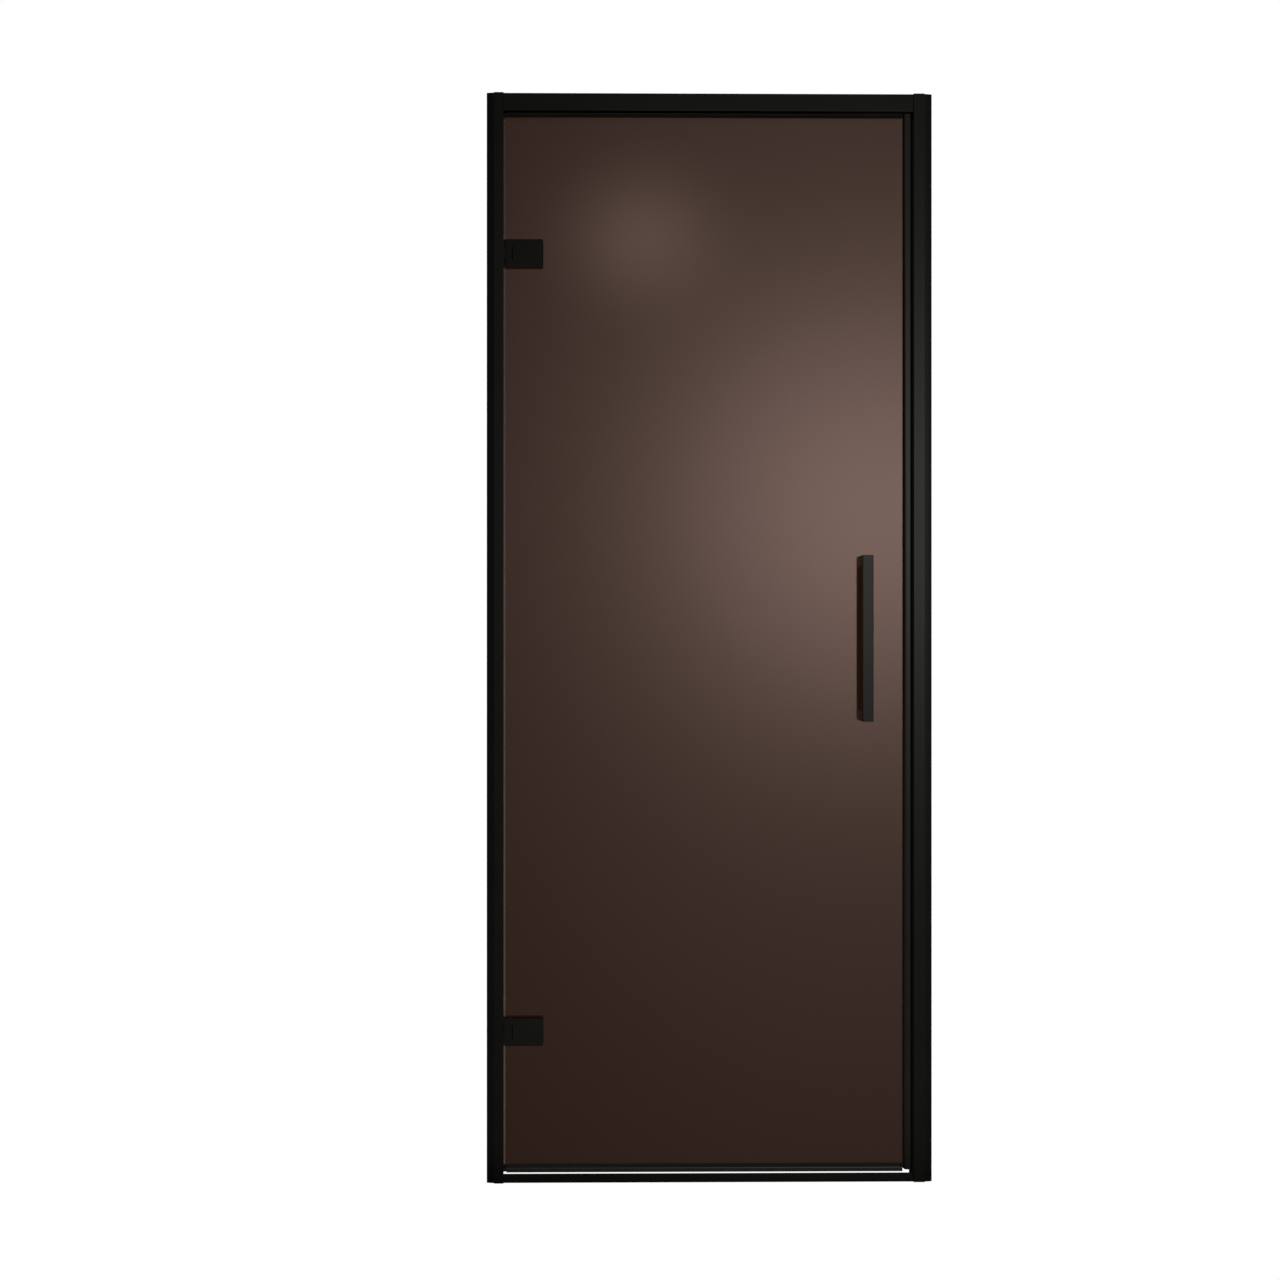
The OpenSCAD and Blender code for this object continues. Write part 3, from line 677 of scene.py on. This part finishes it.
clamp_places = []
for level in ("upper", "lower"):
    low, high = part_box(f"{level}_hinge_back_plate")
    for step in CLAMP_STEPS:
        height = (low.z + high.z) / 2 + step
        clamp_places.append(Vector((high.x - CLAMP_INSET, high.y - 0.1 * MM, height)))
first_screw = build_flat_screw(clamp_places[0], 5.2 * MM, 2.3 * MM, 2.2 * MM)
clamp_screws = join_all([first_screw] + [
    copy_moved(first_screw, place - clamp_places[0]) for place in clamp_places[1:]])
complete(clamp_screws, "hinge_clamp_screws", steel, "door")

# %% [markdown]
# Two more kinds of screw show once the door is open or seen from the inside: low domed
# screws that hold the jambs to their wall channels and the hinge feet to the jamb. A head
# is a short rod with a strongly rounded rim, and two thin blocks cut the cross in it.

# %% Domed screws
CROSS_LENGTH, CROSS_WIDTH = 0.55, 0.12
JAMB_SCREW_HEIGHTS = (-0.7, -0.25, 0.25, 0.7)


def build_domed_screw(foot, radius, height, axis):
    """A domed cross-head screw that faces along X or Y (0 or 1), with its foot on a point."""
    step = Vector((0.0, 0.0, 0.0))
    step[axis] = height
    top = foot + step
    head = add_rod(foot + step / 2, radius, height, axis="XY"[axis], sides=32)
    bevel_edges(head, edges_at(axis, top[axis]), height * 0.7, 4)
    side = Y if axis == X else X
    for wide, tall in ((CROSS_LENGTH, CROSS_WIDTH), (CROSS_WIDTH, CROSS_LENGTH)):
        reach = step * 0.5
        reach[side] = radius * wide
        reach.z = radius * tall
        cut_with(head, add_block(top - reach, top + reach))
    return head


def build_screw_row(name, places, radius, height, axis, material):
    """Copies of one domed screw, joined into a piece that rides on the frame."""
    first = build_domed_screw(places[0], radius, height, axis)
    copies = [copy_moved(first, place - places[0]) for place in places[1:]]
    piece = join_all([first] + copies)
    complete(piece, name, material, "frame")


hinge_jamb_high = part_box("hinge_jamb")[1]
strike_jamb_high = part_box("strike_jamb")[1]
for name, x, y in (
        ("hinge_jamb_screws", 18.0 * MM, hinge_jamb_high.y),
        ("strike_jamb_screws", strike_jamb_high.x - 3.6 * MM, strike_jamb_high.y)):
    places = [Vector((x, y, z)) for z in JAMB_SCREW_HEIGHTS]
    build_screw_row(name, places, 2.9 * MM, 1.6 * MM, Y, plastic)
foot_places = []
for level in ("upper", "lower"):
    low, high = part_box(f"{level}_hinge_knuckle")
    for step in (-15.5 * MM, 15.5 * MM):
        height = (low.z + high.z) / 2 + step
        foot_places.append(Vector((low.x + 3.0 * MM, (low.y + high.y) / 2, height)))
build_screw_row("hinge_foot_screws", foot_places, 2.6 * MM, 1.2 * MM, X, steel)

# %% [markdown]
# The studio. The photograph has a pure white ground, yet the black frame stays black, so
# the white is only behind the door: the world and the floor are white where the camera or
# the glass looks straight at them, and dim for everything they would otherwise light. The
# room in front is a soft grey, the room behind is nearly dark, and its ceiling and ground
# are pale, which lights the faces that look up or down.

# %% World and floor
world = bpy.data.worlds.new("white_backdrop")
bpy.context.scene.world = world
world.use_nodes = True
sky = world.node_tree
backdrop = sky.nodes["Background"]
backdrop.inputs["Color"].default_value = (1.0, 1.0, 1.0, 1.0)


def seen_directly(tree):
    """1 where the camera looks straight or through glass at a surface, else 0."""
    path = tree.nodes.new("ShaderNodeLightPath")
    straight, through = path.outputs["Is Camera Ray"], path.outputs["Is Transmission Ray"]
    return combine(tree, "MAXIMUM", straight, through)


heading = add_node(sky, "ShaderNodeTexCoord")
split = sky.nodes.new("ShaderNodeSeparateXYZ")
sky.links.new(heading.outputs["Generated"], split.inputs[0])
room = map_value(sky, split.outputs["Y"], (-0.2, 0.2), (0.36, 0.012))
steep = add_node(sky, "ShaderNodeMath", operation="ABSOLUTE")
sky.links.new(split.outputs["Z"], steep.inputs[0])
above_below = map_value(sky, steep.outputs[0], (0.75, 0.93), (0.0, 0.9))
around = combine(sky, "ADD", room.outputs["Result"], above_below.outputs["Result"])
strength = map_value(sky, seen_directly(sky))
sky.links.new(around, strength.inputs["To Min"])
sky.links.new(strength.outputs["Result"], backdrop.inputs["Strength"])

deselect()
bpy.ops.mesh.primitive_plane_add(size=16.0, location=(0.4, 0.0, cad_low.z - 0.001))
floor = bpy.context.object
floor.name = "studio_floor"
bpy.ops.object.transform_apply(location=True, rotation=True, scale=True)
floor_material = bpy.data.materials.new("pale_floor")
floor_material.use_nodes = True
floor_tree = floor_material.node_tree
floor_tree.nodes.remove(floor_tree.nodes["Principled BSDF"])
floor_out = floor_tree.nodes["Material Output"]
dull = floor_tree.nodes.new("ShaderNodeBsdfTransparent")
bright = add_node(floor_tree, "ShaderNodeEmission", Color=(1.0, 1.0, 1.0, 1.0), Strength=1.0)
choice = floor_tree.nodes.new("ShaderNodeMixShader")
floor_tree.links.new(seen_directly(floor_tree), choice.inputs[0])
floor_tree.links.new(dull.outputs[0], choice.inputs[1])
floor_tree.links.new(bright.outputs[0], choice.inputs[2])
floor_tree.links.new(choice.outputs[0], floor_out.inputs["Surface"])
floor.data.materials.append(floor_material)
print("world and floor are set")

# %% [markdown]
# The glass mirrors two pale glows: a wide one at mid-height on the right and a small one
# near the top. In a studio that is a big cloth in front of the door with lamps behind. The
# cloth is one sheet whose glow is a sum of bell curves, each with its own middle, width and
# strength, over a faint even light. Sheets behind one another would shade each other, so
# there is only one, and the camera itself doesn't see it.

# %% Glowing cloths
def bell_curve(tree, place_on_sheet, middle, spread, strength):
    """A glow that fades from its middle as a bell curve does."""
    offset = add_node(tree, "ShaderNodeVectorMath", operation="SUBTRACT")
    offset.inputs[1].default_value = (middle[0], middle[1], 0.0)
    tree.links.new(place_on_sheet, offset.inputs[0])
    widths = add_node(tree, "ShaderNodeVectorMath", operation="DIVIDE")
    widths.inputs[1].default_value = (spread[0], spread[1], 1.0)
    tree.links.new(offset.outputs["Vector"], widths.inputs[0])
    reach = add_node(tree, "ShaderNodeVectorMath", operation="DOT_PRODUCT")
    tree.links.new(widths.outputs["Vector"], reach.inputs[0])
    tree.links.new(widths.outputs["Vector"], reach.inputs[1])
    fall = add_node(tree, "ShaderNodeMath", operation="EXPONENT")
    tree.links.new(combine(tree, "MULTIPLY", reach.outputs["Value"], -0.5), fall.inputs[0])
    return combine(tree, "MULTIPLY", fall.outputs[0], strength)


def glowing_cloth(name, place, size, even, glows):
    """A square sheet facing the door. Glows are (x, z, (width, height), strength)."""
    deselect()
    bpy.ops.mesh.primitive_plane_add(size=size)
    sheet = bpy.context.object
    sheet.name = name
    sheet.location = place
    sheet.rotation_euler = (math.radians(90.0), 0.0, 0.0)
    cloth = bpy.data.materials.new(name)
    cloth.use_nodes = True
    tree = cloth.node_tree
    tree.nodes.remove(tree.nodes["Principled BSDF"])
    spot = object_coordinates(tree)
    total = add_node(tree, "ShaderNodeValue").outputs[0]
    total.default_value = even
    for x, z, spread, strength in glows:
        total = combine(tree, "ADD", total, bell_curve(tree, spot, (x, z), spread, strength))
    lamp = tree.nodes.new("ShaderNodeEmission")
    tree.links.new(total, lamp.inputs["Strength"])
    tree.links.new(lamp.outputs[0], tree.nodes["Material Output"].inputs["Surface"])
    sheet.data.materials.append(cloth)
    sheet.visible_camera = False
    sheet.visible_transmission = False


wide_glow = (0.967, 0.500, (0.567, 0.535), 3.25)
wide_halo = (0.867, 0.546, (1.163, 1.684), 1.077)
small_glow = (0.047, 1.532, (0.176, 0.157), 1.38)
rear_glow = (0.0, 0.0, (0.45, 0.45), 3.0)
glowing_cloth("front_cloth", (0.263, -2.45, 0.0), 9.0, 0.06, [wide_glow, wide_halo, small_glow])
glowing_cloth("rear_cloth", (2.3, 2.4, 0.9), 3.0, 0.0, [rear_glow])
print("cloths are hung")

# %% [markdown]
# A pale floor throws light back on the lower half of the door. A flat lamp just above the
# floor does that. It lights surfaces but isn't mirrored in them, as the floor's own
# brightness is set where the world is.

# %% Light from the floor
deselect()
lamp_place = (0.4, -1.1, cad_low.z + 0.005)
bpy.ops.object.light_add(type="AREA", location=lamp_place, rotation=(math.pi, 0.0, 0.0))
floor_bounce = bpy.context.object
floor_bounce.name = "floor_bounce"
floor_bounce.data.size = 2.0
floor_bounce.data.energy = 36.0
floor_bounce.visible_glossy = False
floor_bounce.visible_camera = False
floor_bounce.visible_transmission = False
print("floor bounce", floor_bounce.data.energy, "W")
